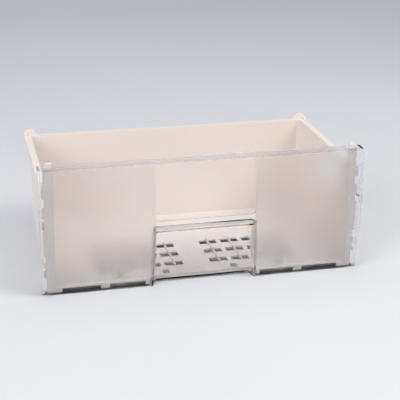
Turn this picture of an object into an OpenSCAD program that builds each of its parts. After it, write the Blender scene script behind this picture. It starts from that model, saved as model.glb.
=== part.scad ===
/* [Bin] */
// Width over the runner rails
rail_span = 395; // [340:1:460]
// Depth from the foot of the panel to the rear rim
bin_d = 211; // [160:1:420]
// Height of the rim above the foot
rim_h = 137.5; // [125:0.5:150]
// Thickness of the side and rear walls
wall_t = 2.4; // [1.8:0.1:3]
// How much each wall leans in from the rim to the foot
draft = 1.4; // [0.5:0.1:3]
// Outer radius of the rear corners
corner_r = 8; // [4:0.5:16]

/* [Rim and rails] */
// Reach of each rail beyond its side wall
rail_reach = 5.8; // [5:0.1:8]
// Height of the rail from its top to its turned-down edge
rail_drop = 13.5; // [8:0.5:14]
// Thickness of the rails and the rim
rail_t = 2.2; // [1.6:0.1:3]
// Reach of the rear rim beyond the rear wall
rear_rim = 2.4; // [1.5:0.1:5]

/* [Raised rear corners] */
// Width of a raised corner at its base
ear_w = 17.7; // [14:0.1:30]
// Rise of the corner above the rim
ear_rise = 8.3; // [4:0.1:14]
// Length of the ramp that joins the corner to the rail
ear_ramp = 13; // [8:0.5:30]

/* [Floor] */
// Height of the floor's upper face above the foot
floor_h = 8.8; // [7:0.1:12]
// Thickness of the floor
floor_t = 2; // [1.4:0.1:3]
// Distance between the columns of vent slots
slot_column_pitch = 29.3; // [26:0.1:36]
// Columns of vent slots on each side of the middle
slot_columns = 4; // [1:1:5]
// Distance between the rows of vent slots
slot_row_pitch = 28.3; // [18:0.1:40]
// Rows of vent slots
slot_rows = 3; // [1:1:4]
// Distance of the first row from the foot of the panel
slot_first_row = 41.9; // [34:0.1:60]
// Width of one vent slot
slot_w = 11.2; // [5:0.1:12]
// Depth of one vent slot
slot_d = 12; // [6:0.5:15]
// Thickness of the rib between the two slots of a pair
slot_rib_t = 1.2; // [1:0.1:2.4]
// Rise of that rib above the floor
slot_rib_rise = 2.7; // [1:0.1:5]
// Width of a square hole near the front edge
front_hole_w = 8.4; // [5:0.1:12]
// Depth of a square hole near the front edge
front_hole_d = 10.5; // [5:0.1:12]
// Distance of those holes from the foot of the panel
front_hole_y = 14.8; // [14.6:0.1:18]
// Distance of the inner two holes from the middle
front_hole_x = 44; // [20:0.5:50]
// Distance between an inner and an outer hole
front_hole_step = 59.5; // [30:0.5:70]

/* [Side openings] */
// Length of the opening in each side wall
side_hole_l = 70; // [45:1:90]
// Height of the opening in each side wall
side_hole_h = 27; // [16:1:28]
// Distance of its middle from the foot of the panel
side_hole_y = 73.5; // [60:0.5:90]
// Height of its middle above the foot
side_hole_z = 109.5; // [70:0.5:109.5]

/* [Front frame] */
// Distance of the frame plate from the foot of the panel
frame_y = 3; // [2:0.1:5]
// Thickness of the frame plate
frame_t = 2.5; // [1.8:0.1:3]
// Width of the frame plate on each side
frame_w = 14.3; // [12:0.1:20]
// Depth of the notches in the outer edge of the plate
notch_d = 3.1; // [2:0.1:4]
// Height of the corner posts above the foot
post_h = 168; // [164:0.5:172]
// Width of the slope at the top of a post
post_slope_w = 3.9; // [2:0.1:6]
// Height of the slope at the top of a post
post_slope_h = 10; // [5:0.5:16]

/* [Front lip] */
// Width of the outer foot of the lip
lip_leg_w = 14; // [6:0.5:20]
// Distance of the lip's middle tab from the middle of the drawer
lip_tab_x = 118; // [90:0.5:140]
// Width of the lip's middle tab
lip_tab_w = 11; // [6:0.5:20]
// Width of the leg next to the scoop
lip_inner_w = 5; // [3:0.5:10]

/* [Panel] */
// Height of the panel
panel_h = 162.2; // [158:0.1:163]
// Wall of the panel
panel_t = 2.5; // [1.8:0.1:3]
// How far the face bows forward of its foot
bow = 9.2; // [8:0.1:12]
// Radius of the bow
bow_r = 559; // [480:1:900]
// Height at which the bow stands furthest forward
bow_z = 92.8; // [85:0.1:100]
// Radius of the rounded foot
foot_r = 4; // [2.6:0.1:5]
// Depth of the top flange and the side skirts behind the foot
skirt_d = 11; // [10.8:0.1:16]
// Depth of the bottom return behind the foot
return_d = 8; // [6:0.5:10]
// Thickness of the bottom return
return_t = 1.8; // [1.2:0.1:2.4]
// Clearance between the panel and the bin
fit = 0.3; // [0.2:0.05:0.5]

/* [Window and grip bar] */
// Width of the inset window
window_w = 125; // [90:0.5:140]
// Height at which the window stands flush with the face
window_top = 155; // [140:0.5:156]
// Lean of the window, in degrees
window_lean = 1.8; // [0.6:0.1:2]
// Corner radius at the lower corners of the window
window_r = 5; // [2:0.5:10]
// Height of the upper edge of the grip bar
bar_top = 90.5; // [86:0.5:98]
// Height of the lower edge of the grip bar
bar_low = 74; // [60:0.5:78]

/* [Finger scoop] */
// Width of the scoop's mouth at the foot
scoop_foot_w = 129.2; // [110:0.1:140]
// Width of the scoop's mouth under the bar
scoop_bar_w = 124.6; // [100:0.1:130]
// Width of the scoop's back
scoop_back_w = 115; // [80:0.1:118]
// Distance of the back from the foot of the panel, at the foot
scoop_foot_d = 7.8; // [5:0.1:8]
// Distance of the back from the foot of the panel, under the bar
scoop_back_d = 10; // [6:0.1:10.4]
// Size of the curve between the scoop's back and its ceiling
scoop_round = 6; // [3:0.5:6]
// Rise of the scoop's lower edge from the mouth to the back
scoop_edge_rise = 3.4; // [2:0.1:4]

/* [Hidden] */

// The cuts run past the faces they open by this much
over = 1;
// Thickness of the slices that a loft is stretched over
slice = 0.01;
big_fn = 360;
round_fn = 48;
loft_fn = 32;

bin_w = rail_span - 2 * rail_reach;
rail_x = rail_span / 2;
centre_y = (bin_d - bow) / 2;
rear_y = bin_d - rear_rim;
lip_low = return_t + fit;
rail_low = rim_h - rail_drop;
frame_x = rail_x - frame_w;
notch_x = rail_x - notch_d;

panel_in = rail_x + fit;
panel_out = panel_in + panel_t;
bow_y = bow_r - bow;
face_top_y = bow_y - sqrt(pow(bow_r, 2) - pow(window_top - bow_z, 2));
foot_y = bow_y - sqrt(pow(bow_r - foot_r, 2) - pow(bow_z - foot_r, 2));

// Outside of the scoop's walls where they pass the lip and the floor
scoop_slant = (scoop_foot_w - scoop_back_w) / 2 / scoop_foot_d;
scoop_wall_x = panel_t * sqrt(1 + pow(scoop_slant, 2));
mouth_x = scoop_foot_w / 2 + scoop_wall_x + fit;
floor_mid_y = scoop_foot_d + panel_t + fit + (scoop_back_d - scoop_foot_d) * floor_h / bar_low;

// Height ranges of the notches in the frame plate's outer edge
notch_z = [[0, 23], [41, 51], [112, rail_low]];
// Height ranges of the snap nubs, each behind an unbroken stretch of the plate's edge
snap_z = [[28, 36], [90, 100]];
snap_in = 2;
snap_flat = 0.6;
snap_ramp = 2.6;

// Half the bin's outer width at a height
function half_w(z) = bin_w / 2 - draft * (1 - z / rim_h);
// Place of the rear wall's outer face at a height
function rear_at(z) = rear_y - draft * (1 - z / rim_h);

// Flat outline in the side view, stretched across the width
module along_x(w) {
  rotate([90, 0, 90])
    linear_extrude(w, center = true)
      children();
}

// Flat outline in the front view, stretched from one depth to another
module along_y(y0, y1) {
  translate([0, y1, 0])
    rotate([90, 0, 0])
      linear_extrude(y1 - y0)
        children();
}

module both_sides() {
  children();
  mirror([1, 0, 0])
    children();
}

// Block that leans with the walls, with rounded rear corners
module leaning_block(inset, front, z0, z1) {
  r = corner_r - inset;
  hull()
    for (z = [z0, z1]) {
      half = half_w(z) - inset;
      rear = rear_at(z) - inset;
      for (side = [-1, 1]) {
        translate([side * (half - r), rear - r, z])
          cylinder(r = r, h = slice, $fn = loft_fn);
        translate([side * (half - slice / 2) - slice / 2, front, z])
          cube(slice);
      }
    }
}

// Space between the walls, open at the front, the top and the bottom
module room() {
  leaning_block(wall_t, frame_y - over, -over, rim_h + over);
}

module floor_slab() {
  translate([-rail_x, frame_y, floor_h - floor_t])
    cube([2 * rail_x, bin_d, floor_t]);
}

module walls_and_floor() {
  difference() {
    leaning_block(0, frame_y, 0, rim_h);
    difference() {
      room();
      floor_slab();
    }
  }
}

// Rim around the sides and the rear, with the rails' turned-down edges
module rim_and_rails() {
  difference() {
    translate([-rail_x, frame_y, rim_h - rail_t])
      cube([2 * rail_x, bin_d - frame_y, rail_t]);
    room();
  }
  both_sides()
    translate([rail_x - rail_t, frame_y, rail_low])
      cube([rail_t, bin_d - frame_y, rail_drop]);
}

// Raised corner: a plate on the rear rim and a ramp on the rail's edge
module ear() {
  top = rim_h + ear_rise;
  along_y(bin_d - rear_rim, bin_d)
    polygon([
      [rail_x - ear_w, rim_h - rail_t],
      [rail_x - ear_w, rim_h],
      [rail_x - 0.72 * ear_w, top - 0.16 * ear_rise],
      [rail_x - 0.65 * ear_w, top],
      [rail_x - 0.22 * ear_w, top],
      [rail_x, top - 0.4 * ear_rise],
      [rail_x, rail_low],
      [rail_x - rail_reach, rail_low],
      [rail_x - rail_reach, rim_h - rail_t]
    ]);
  translate([rail_x - rail_t / 2, 0, 0])
    along_x(rail_t)
      polygon([
        [bin_d - ear_ramp, rim_h - rail_t],
        [bin_d - ear_ramp, rim_h],
        [bin_d, top - 0.4 * ear_rise],
        [bin_d, rim_h - rail_t]
      ]);
}

// Plate that the panel snaps over, with notches in its outer edge and a post
module frame_plate() {
  difference() {
    translate([frame_x, frame_y, lip_low])
      cube([frame_w, frame_t, rim_h - lip_low]);
    for (z = notch_z)
      translate([notch_x, frame_y - over, z[0]])
        cube([notch_d + over, frame_t + 2 * over, z[1] - z[0]]);
  }
  along_y(frame_y, frame_y + frame_t)
    polygon([
      [frame_x, rim_h - rail_t],
      [frame_x, post_h],
      [notch_x - post_slope_w, post_h],
      [notch_x, post_h - post_slope_h],
      [notch_x, rim_h - rail_t]
    ]);
}

// Feet of the front lip, with slots left open between them
module lip_legs() {
  height = floor_h - lip_low;
  for (leg = [[mouth_x, lip_inner_w], [lip_tab_x, lip_tab_w], [rail_x - frame_w - lip_leg_w / 2, lip_leg_w]])
    translate([leg[0], frame_y, lip_low])
      cube([leg[1], frame_t, height]);
}

// Edge turned down from the floor behind the scoop
module middle_lip() {
  translate([-mouth_x, floor_mid_y, lip_low])
    cube([2 * mouth_x, floor_t, floor_h - lip_low]);
}

module slot_ribs() {
  run = (slot_rows - 1) * slot_row_pitch + 1.5 * slot_d;
  for (k = [1 : slot_columns])
    translate([k * slot_column_pitch - slot_rib_t / 2, slot_first_row - 0.75 * slot_d, floor_h - floor_t / 2])
      cube([slot_rib_t, run, floor_t / 2 + slot_rib_rise]);
}

module slots() {
  for (k = [1 : slot_columns], row = [0 : slot_rows - 1], side = [-1, 1])
    translate([
      k * slot_column_pitch + side * (slot_w + slot_rib_t) / 2 - slot_w / 2,
      slot_first_row + row * slot_row_pitch - slot_d / 2,
      floor_h - floor_t - over
    ])
      cube([slot_w, slot_d, floor_t + 2 * over]);
}

module front_holes() {
  for (k = [0, 1])
    translate([front_hole_x + k * front_hole_step - front_hole_w / 2, front_hole_y, floor_h - floor_t - over])
      cube([front_hole_w, front_hole_d, floor_t + 2 * over]);
}

// Opening with round ends through the side wall
module side_hole() {
  r = side_hole_h / 2;
  reach = half_w(0) - 2 * wall_t;
  for (end = [-1, 1])
    translate([reach, side_hole_y + end * (side_hole_l / 2 - r), side_hole_z])
      rotate([0, 90, 0])
        cylinder(r = r, h = 4 * wall_t + draft, $fn = round_fn);
  translate([reach, side_hole_y - side_hole_l / 2 + r, side_hole_z - r])
    cube([4 * wall_t + draft, side_hole_l - side_hole_h, side_hole_h]);
}

module bin() {
  color("linen")
    translate([0, -centre_y, 0])
      difference() {
        union() {
          walls_and_floor();
          rim_and_rails();
          middle_lip();
          both_sides() {
            ear();
            frame_plate();
            lip_legs();
            slot_ribs();
          }
        }
        both_sides() {
          side_hole();
          slots();
          front_holes();
        }
        panel_return_space();
        scoop_space();
      }
}

// Space that the panel's bottom return takes under the bin
module panel_return_space() {
  translate([-rail_x - over, -over, -over])
    cube([2 * (rail_x + over), over + return_d + fit, over + lip_low]);
}

// Space that the scoop takes out of the floor's front edge
module scoop_space() {
  translate([-mouth_x, frame_y - over, -over])
    cube([2 * mouth_x, floor_mid_y - frame_y + over, floor_h + 2 * over]);
}

// Disc whose front edge is the bow of the face
module bow_disc(inset) {
  translate([bow_y, bow_z])
    circle(r = bow_r - inset, $fn = big_fn);
}

// Side view of everything behind the face, up to a depth
module behind_face(depth) {
  intersection() {
    bow_disc(0);
    translate([-bow - over, 0])
      square([bow + over + depth, panel_h]);
  }
}

// Corner of the side view that the rounded foot takes away
module foot_corner() {
  lean = atan2(bow_z - foot_r, bow_y - foot_y);
  reach = foot_r + over;
  difference() {
    polygon([
      [foot_y, foot_r],
      [foot_y - reach * cos(lean), foot_r - reach * sin(lean)],
      [foot_y - 2 * reach, -reach],
      [foot_y, -reach]
    ]);
    translate([foot_y, foot_r])
      circle(r = foot_r, $fn = round_fn);
  }
}

// Space behind the face that the skirts, the flange and the return enclose
module panel_room() {
  along_x(2 * panel_in)
    union() {
      intersection() {
        bow_disc(panel_t);
        translate([-bow, return_t])
          square([bow + skirt_d + over, panel_h - panel_t - return_t]);
      }
      translate([return_d, -over])
        square([skirt_d, panel_h / 2]);
    }
}

// Front view of the window, with rounded lower corners
module window_outline(grow) {
  half = window_w / 2 + grow;
  low = bar_top - grow;
  r = window_r + grow;
  translate([-half, low + r])
    square([2 * half, window_top - low - r]);
  translate([-half + r, low])
    square([2 * (half - r), 2 * r]);
  for (side = [-1, 1])
    translate([side * (half - r), low + r])
      circle(r = r, $fn = round_fn);
}

// Space in front of the leaning window, cut to the window's outline
module before_window(grow) {
  intersection() {
    along_y(-bow - 2 * over, skirt_d)
      window_outline(grow);
    along_x(window_w + 4 * grow + 2 * over)
      difference() {
        translate([-bow - over, bar_top - 2 * grow - over])
          square([bow + over, window_top]);
        translate([face_top_y, window_top])
          rotate(window_lean)
            translate([-face_top_y, -window_top])
              bow_disc(grow);
      }
  }
}

// One slice of the scoop, seen from above
module scoop_slice(mouth_w, depth, grow) {
  slope = (mouth_w - scoop_back_w) / 2 / scoop_back_d;
  back_x = min(mouth_w / 2, scoop_back_w / 2 + slope * (scoop_back_d - depth));
  linear_extrude(slice)
    offset(delta = grow)
      polygon([
        [-mouth_w / 2, -bow - 3 * over],
        [-mouth_w / 2, 0],
        [-back_x, depth],
        [back_x, depth],
        [mouth_w / 2, 0],
        [mouth_w / 2, -bow - 3 * over]
      ]);
}

// The scoop as a lofted space, or with its walls when grown by their thickness
module scoop(grow) {
  hull() {
    translate([0, 0, -over])
      scoop_slice(scoop_foot_w, scoop_foot_d, grow);
    translate([0, 0, bar_low - scoop_round + grow / 2])
      scoop_slice(scoop_bar_w, scoop_back_d, grow);
    translate([0, 0, bar_low + grow - slice])
      scoop_slice(scoop_bar_w, scoop_back_d - scoop_round, grow);
  }
}

// Sloping cut along the lower edge of the scoop's walls
module scoop_edge_cut() {
  reach = scoop_back_d + panel_t + over;
  along_x(2 * mouth_x - 2 * fit)
    polygon([
      [0, 0],
      [0, -2 * over],
      [reach, -2 * over],
      [reach, scoop_edge_rise * reach / scoop_foot_d]
    ]);
}

// Nub that catches behind the frame plate, and the stop in front of the plate
module snap(z) {
  catch_y = frame_y + frame_t + fit;
  translate([0, 0, z[0]])
    linear_extrude(z[1] - z[0]) {
      polygon([
        [panel_in + over, catch_y],
        [panel_in - snap_in, catch_y],
        [panel_in - snap_in, catch_y + snap_flat],
        [panel_in, catch_y + snap_ramp],
        [panel_in + over, catch_y + snap_ramp]
      ]);
      translate([panel_in - snap_in, -bow])
        square([snap_in + over, bow + frame_y - fit]);
    }
}

// Slot open to the rear in the top flange, where a corner post stands
module post_slot() {
  translate([frame_x - fit, frame_y - fit, panel_h - 2 * panel_t])
    cube([frame_w - notch_d + 2 * fit, skirt_d, 3 * panel_t]);
}

module front_panel() {
  color("aliceblue", 0.45)
    translate([0, -centre_y, 0])
      difference() {
        union() {
          difference() {
            along_x(2 * panel_out)
              difference() {
                behind_face(skirt_d);
                foot_corner();
              }
            before_window(0);
            difference() {
              panel_room();
              before_window(panel_t);
            }
          }
          intersection() {
            along_x(2 * panel_out)
              behind_face(skirt_d + 2 * panel_t);
            union() {
              scoop(panel_t);
              both_sides()
                for (z = snap_z)
                  snap(z);
            }
          }
        }
        scoop(0);
        scoop_edge_cut();
        both_sides()
          post_slot();
      }
}

bin();
front_panel();
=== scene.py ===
# %% [markdown]
# # A freezer drawer in two kinds of plastic
#
# The real object is a shallow bin moulded in warm white polystyrene, with a clear front
# panel snapped over its open side. The panel is polished in the middle and frosted left
# and right of it, so what stands behind it is sharp in one place and blurred in another.
#
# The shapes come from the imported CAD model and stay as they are. This lesson adds what
# CAD can't hold: how each plastic takes the light, a studio around it and a camera.

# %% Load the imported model
import math

import bpy
from mathutils import Matrix, Vector


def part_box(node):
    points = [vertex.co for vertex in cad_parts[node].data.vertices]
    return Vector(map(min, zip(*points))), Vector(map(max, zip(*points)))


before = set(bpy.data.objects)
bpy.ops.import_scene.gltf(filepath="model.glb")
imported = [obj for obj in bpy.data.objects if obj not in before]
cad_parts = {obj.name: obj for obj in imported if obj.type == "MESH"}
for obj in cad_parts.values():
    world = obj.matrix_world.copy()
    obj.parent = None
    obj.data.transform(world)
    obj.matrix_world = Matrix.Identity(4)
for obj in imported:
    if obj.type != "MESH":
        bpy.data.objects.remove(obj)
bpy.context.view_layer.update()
bin_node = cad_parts["bin"]
panel_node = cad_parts["front_panel"]
print("nodes:", sorted(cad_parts))

# %% [markdown]
# ## Reading the sizes that the looks depend on
#
# A finish that belongs to a place on the moulding, such as the frosted field, has to know
# where the moulding is. We could type coordinates, but they would drift when the model
# changes. Here the panel's box is measured from the node and its size printed, and the
# camera is placed from the panel's foot; the frosted field's borders are still typed as numbers.

# %% Measure the drawer
MM = 0.001
panel_low, panel_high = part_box("front_panel")
panel_half = (panel_high.x - panel_low.x) / 2
panel_height = panel_high.z - panel_low.z
FACE_BOW = 9.2 * MM
foot_y = panel_low.y + FACE_BOW
print("panel is", round(panel_half * 2 / MM, 1), "by", round(panel_height / MM, 1), "mm")

# %% [markdown]
# ## The camera
#
# The photograph looks down on the drawer from the left, from a little over a metre away.
# A camera can be aimed with a constraint, by eye in the viewport, or from measured angles.
# Here the angles were worked out from the drawer's straight edges, so they are written
# down as numbers, and a matrix is built from them: where the camera's right, up and
# backward directions point.

# %% Place the camera
def aimed_matrix(place, yaw, pitch, roll):
    """A camera matrix from its place and three angles, pitch counted downwards."""
    run = math.cos(pitch)
    forward = Vector((math.sin(yaw) * run, math.cos(yaw) * run, -math.sin(pitch)))
    level = Vector((math.cos(yaw), -math.sin(yaw), 0))
    upright = level.cross(forward)
    right = math.cos(roll) * level + math.sin(roll) * upright
    up = math.cos(roll) * upright - math.sin(roll) * level
    turn = Matrix((right, up, -forward)).transposed().to_4x4()
    return Matrix.Translation(place) @ turn


SENSOR = 36.0
FOCAL_IN_FRAMES = 2.645425
CAMERA_LEFT = 297.24 * MM
CAMERA_AHEAD = 1158.51 * MM
CAMERA_HEIGHT = 574.44 * MM
YAW = math.radians(14.096)
PITCH = math.radians(21.290)
ROLL = math.radians(0.7325)

camera_data = bpy.data.cameras.new("camera")
camera_data.sensor_width = SENSOR
camera_data.lens = SENSOR * FOCAL_IN_FRAMES
camera = bpy.data.objects.new("camera", camera_data)
bpy.context.scene.collection.objects.link(camera)
camera_place = Vector((-CAMERA_LEFT, foot_y - CAMERA_AHEAD, CAMERA_HEIGHT))
camera.matrix_world = aimed_matrix(camera_place, YAW, PITCH, ROLL)
bpy.context.scene.camera = camera
print("lens", round(camera_data.lens, 1), "mm, camera at", [round(v, 3) for v in camera_place])

# %% [markdown]
# ## The studio
#
# A product stands on a pale sheet that runs up behind it, with no corner to be seen. Clear
# plastic shows what is behind and around it, so the studio is part of its look: a plain
# grey floor alone would leave the panel dull. The sheet is one mesh, swept from the floor
# through a quarter circle to the wall.

# %% Build the sheet
def make_sheet(width, front, back, radius, height, steps=16):
    """A floor that curves up into a wall, as one strip of faces."""
    profile = [(front, 0.0)]
    for i in range(steps + 1):
        angle = math.pi / 2 * i / steps
        profile.append((back + radius * math.sin(angle), radius - radius * math.cos(angle)))
    profile.append((back + radius, height))
    verts = [(side * width / 2, y, z) for y, z in profile for side in (-1, 1)]
    faces = [(2 * i, 2 * i + 1, 2 * i + 3, 2 * i + 2) for i in range(len(profile) - 1)]
    mesh = bpy.data.meshes.new("sheet")
    mesh.from_pydata(verts, [], faces)
    mesh.shade_smooth()
    obj = bpy.data.objects.new("sheet", mesh)
    bpy.context.scene.collection.objects.link(obj)
    return obj


sheet = make_sheet(width=8.0, front=-4.0, back=1.6, radius=1.2, height=4.0)


# %% [markdown]
# ## Node helpers
#
# Every finish below is a small graph of shader nodes. Two helpers keep the graphs short:
# one adds a node and sets its plain values, the other makes an empty material with a
# Principled shader whose constant values are set on the shader's own sockets.

# %% Write the node helpers
def add_node(tree, kind, values=None, **settings):
    """One shader node with its settings and the values of its unlinked inputs."""
    node = tree.nodes.new(kind)
    for name, value in settings.items():
        setattr(node, name, value)
    for key, value in (values or {}).items():
        node.inputs[key].default_value = value
    return node


def new_material(name, values):
    """A material with one Principled shader wired to its output."""
    material = bpy.data.materials.new(name)
    material.use_nodes = True
    tree = material.node_tree
    tree.nodes.clear()
    shader = add_node(tree, "ShaderNodeBsdfPrincipled", values)
    output = add_node(tree, "ShaderNodeOutputMaterial")
    tree.links.new(shader.outputs["BSDF"], output.inputs["Surface"])
    return material, tree, shader


def ramp_node(tree, source, stops):
    """A colour ramp fed by a source socket, from a list of (place, colour)."""
    ramp = add_node(tree, "ShaderNodeValToRGB")
    elements = ramp.color_ramp.elements
    while len(elements) < len(stops):
        elements.new(0.5)
    for element, (place, colour) in zip(elements, stops):
        element.position = place
        element.color = colour
    tree.links.new(source, ramp.inputs["Fac"])
    return ramp.outputs["Color"]


# %% [markdown]
# ## The sheet's paper
#
# Seamless paper is matt and almost even. A slow noise keeps it from looking like a
# computer's flat grey, and it is too faint to draw the eye from the drawer.

# %% Finish the sheet
def paper_material():
    material, tree, shader = new_material("paper", {"Roughness": 0.75, "Specular IOR Level": 0.3})
    place = add_node(tree, "ShaderNodeTexCoord")
    cloud = add_node(tree, "ShaderNodeTexNoise", {"Scale": 1.5, "Detail": 2.0})
    tree.links.new(place.outputs["Object"], cloud.inputs["Vector"])
    dim, bright = (0.70, 0.72, 0.75, 1), (0.73, 0.75, 0.78, 1)
    tone = ramp_node(tree, cloud.outputs["Fac"], [(0.3, dim), (0.7, bright)])
    tree.links.new(tone, shader.inputs["Base Color"])
    return material


sheet.data.materials.append(paper_material())

# %% [markdown]
# ## The white bin
#
# Impact polystyrene is slightly translucent, so light enters a thin wall and comes out
# warm. Subsurface scattering gives that softness at the price of render time; a plain
# diffuse colour is cheaper and looks like paint. The walls here are only a few
# millimetres, so a small scattering radius is enough.
#
# The mould leaves a satin skin: a very fine grain, and slow waves where the plastic
# shrank. Both go into the bump, and the grain also nudges the roughness. A bevel node
# rounds the sharp edges in the shading alone, by 0.7 mm.

# %% Finish the bin
def bin_material():
    material, tree, shader = new_material("white_polystyrene", {
        "Subsurface Weight": 0.35,
        "Subsurface Scale": 0.004,
        "Subsurface Radius": (1.0, 0.75, 0.55),
        "IOR": 1.5,
    })
    place = add_node(tree, "ShaderNodeTexCoord")
    waves = add_node(tree, "ShaderNodeTexNoise", {"Scale": 9.0, "Detail": 3.0})
    grain = add_node(tree, "ShaderNodeTexNoise", {"Scale": 900.0, "Detail": 2.0})
    for texture in (waves, grain):
        tree.links.new(place.outputs["Object"], texture.inputs["Vector"])
    dim, bright = (0.80, 0.735, 0.695, 1), (0.83, 0.765, 0.725, 1)
    tone = ramp_node(tree, waves.outputs["Fac"], [(0.3, dim), (0.7, bright)])
    tree.links.new(tone, shader.inputs["Base Color"])
    gloss = add_node(tree, "ShaderNodeMapRange", {"To Min": 0.36, "To Max": 0.46})
    tree.links.new(grain.outputs["Fac"], gloss.inputs["Value"])
    tree.links.new(gloss.outputs["Result"], shader.inputs["Roughness"])
    edge = add_node(tree, "ShaderNodeBevel", {"Radius": 0.7 * MM}, samples=4)
    slow = add_node(tree, "ShaderNodeBump", {"Strength": 0.12, "Distance": 2 * MM})
    fine = add_node(tree, "ShaderNodeBump", {"Strength": 0.10, "Distance": 0.05 * MM})
    tree.links.new(edge.outputs["Normal"], slow.inputs["Normal"])
    tree.links.new(waves.outputs["Fac"], slow.inputs["Height"])
    tree.links.new(slow.outputs["Normal"], fine.inputs["Normal"])
    tree.links.new(grain.outputs["Fac"], fine.inputs["Height"])
    tree.links.new(fine.outputs["Normal"], shader.inputs["Normal"])
    return material


def dress(node, material):
    """Give a CAD node one material in place of its plain ones."""
    node.data.materials.clear()
    node.data.materials.append(material)


dress(bin_node, bin_material())


# %% [markdown]
# ## Where the panel is frosted
#
# The tool that moulds the panel is polished, apart from two etched fields. They end 16 mm
# short of the sides and 14 mm above the foot, and leave the window, the grip bar and the
# scoop clear. A mask painted on an image would need UVs. A mask worked out from the place
# of each point needs none, and stays sharp at any distance: each border is a comparison,
# and the comparisons are multiplied.

# %% Write the mask
FROST_OUTER = 184.4 * MM
FROST_INNER = 62.0 * MM
FROST_LOW = 13.8 * MM
FROST_HIGH = 159.5 * MM
FADE = 0.5 * MM


def step_up(tree, value, edge):
    """1 where the value is above the edge, 0 below it, with a narrow fade."""
    node = add_node(tree, "ShaderNodeMapRange", {"From Min": edge - FADE, "From Max": edge + FADE})
    tree.links.new(value, node.inputs["Value"])
    return node.outputs["Result"]


def math_node(tree, operation, first, second=None):
    """A math node whose inputs are sockets or numbers."""
    node = add_node(tree, "ShaderNodeMath", operation=operation)
    for index, value in enumerate((first, second)):
        if value is None:
            continue
        if isinstance(value, (int, float)):
            node.inputs[index].default_value = value
        else:
            tree.links.new(value, node.inputs[index])
    return node.outputs["Value"]


def frost_mask(tree):
    """1 in the two etched fields of the panel, 0 elsewhere."""
    place = add_node(tree, "ShaderNodeTexCoord")
    axes = add_node(tree, "ShaderNodeSeparateXYZ")
    tree.links.new(place.outputs["Object"], axes.inputs["Vector"])
    side = math_node(tree, "ABSOLUTE", axes.outputs["X"])
    height = axes.outputs["Z"]
    inside = step_up(tree, side, FROST_INNER)
    within = math_node(tree, "SUBTRACT", 1.0, step_up(tree, side, FROST_OUTER))
    above = step_up(tree, height, FROST_LOW)
    below = math_node(tree, "SUBTRACT", 1.0, step_up(tree, height, FROST_HIGH))
    across = math_node(tree, "MULTIPLY", inside, within)
    upright = math_node(tree, "MULTIPLY", above, below)
    return math_node(tree, "MULTIPLY", across, upright)


# %% [markdown]
# ## The clear panel
#
# Clear polystyrene bends and reflects light as glass does. Real transmission is dear, but
# the panel is the drawer's face: only transmission shows the bin's floor through it,
# lights up its edges and blurs the wall behind the frosted fields. The blur comes from
# roughness, which the mask switches on, and an etched surface also dims what is behind it.
#
# The real index is near 1.59. It is set lower here: at 1.5 the thin moulded edges turned
# dark in this studio, and the photograph shows them pale. The price is that the panel
# bends the light a little less than it should.

# %% Finish the panel
def panel_material():
    material, tree, shader = new_material("clear_polystyrene", {
        "Transmission Weight": 1.0,
        "IOR": 1.36,
    })
    frost = frost_mask(tree)
    gloss = add_node(tree, "ShaderNodeMapRange", {"To Min": 0.02, "To Max": 0.42})
    tree.links.new(frost, gloss.inputs["Value"])
    tree.links.new(gloss.outputs["Result"], shader.inputs["Roughness"])
    clear, frosted = (0.975, 0.985, 1.0, 1), (0.95, 0.96, 0.975, 1)
    tint = ramp_node(tree, frost, [(0.0, clear), (1.0, frosted)])
    tree.links.new(tint, shader.inputs["Base Color"])
    place = add_node(tree, "ShaderNodeTexCoord")
    waves = add_node(tree, "ShaderNodeTexNoise", {"Scale": 14.0, "Detail": 2.0})
    tree.links.new(place.outputs["Object"], waves.inputs["Vector"])
    flow = add_node(tree, "ShaderNodeBump", {"Strength": 0.06, "Distance": 1 * MM})
    tree.links.new(waves.outputs["Fac"], flow.inputs["Height"])
    tree.links.new(flow.outputs["Normal"], shader.inputs["Normal"])
    return material


dress(panel_node, panel_material())


# %% [markdown]
# ## The lights
#
# In the photograph both side walls are bright inside and the shadows are weak, so two
# large soft lights stand left and right in front of the drawer, and a third one hangs
# above. They give the long even highlights that plastic needs; a small lamp would give a
# hard spot. The light is a little warm, and the studio's own glow a little cool.
#
# The view transform is the standard one. A filmic curve keeps very bright light from
# clipping, but it turned this nearly white object grey. So the lights have to be kept
# weak enough for the white plastic instead.

# %% Set the lights
def soft_light(name, place, target, size, power, colour=(1, 1, 1)):
    """A square area light that looks at a target."""
    data = bpy.data.lights.new(name, "AREA")
    data.size = size
    data.energy = power
    data.color = colour
    light = bpy.data.objects.new(name, data)
    bpy.context.scene.collection.objects.link(light)
    aim = Vector(target) - Vector(place)
    turn = aim.to_track_quat("-Z", "Y").to_matrix().to_4x4()
    light.matrix_world = Matrix.Translation(place) @ turn


middle = (0, 0, 0.08)
soft_light("key", (1.1, -0.9, 1.5), middle, 0.9, 19, (1.0, 0.96, 0.92))
soft_light("fill", (-1.6, -1.2, 1.3), middle, 1.4, 25, (1.0, 0.97, 0.94))
soft_light("top", (0.0, 0.3, 2.0), middle, 1.6, 8)

world = bpy.data.worlds.new("studio")
world.use_nodes = True
glow = world.node_tree.nodes["Background"].inputs
glow["Color"].default_value = (0.93, 0.95, 1.0, 1)
glow["Strength"].default_value = 0.45
bpy.context.scene.world = world
bpy.context.scene.view_settings.view_transform = "Standard"
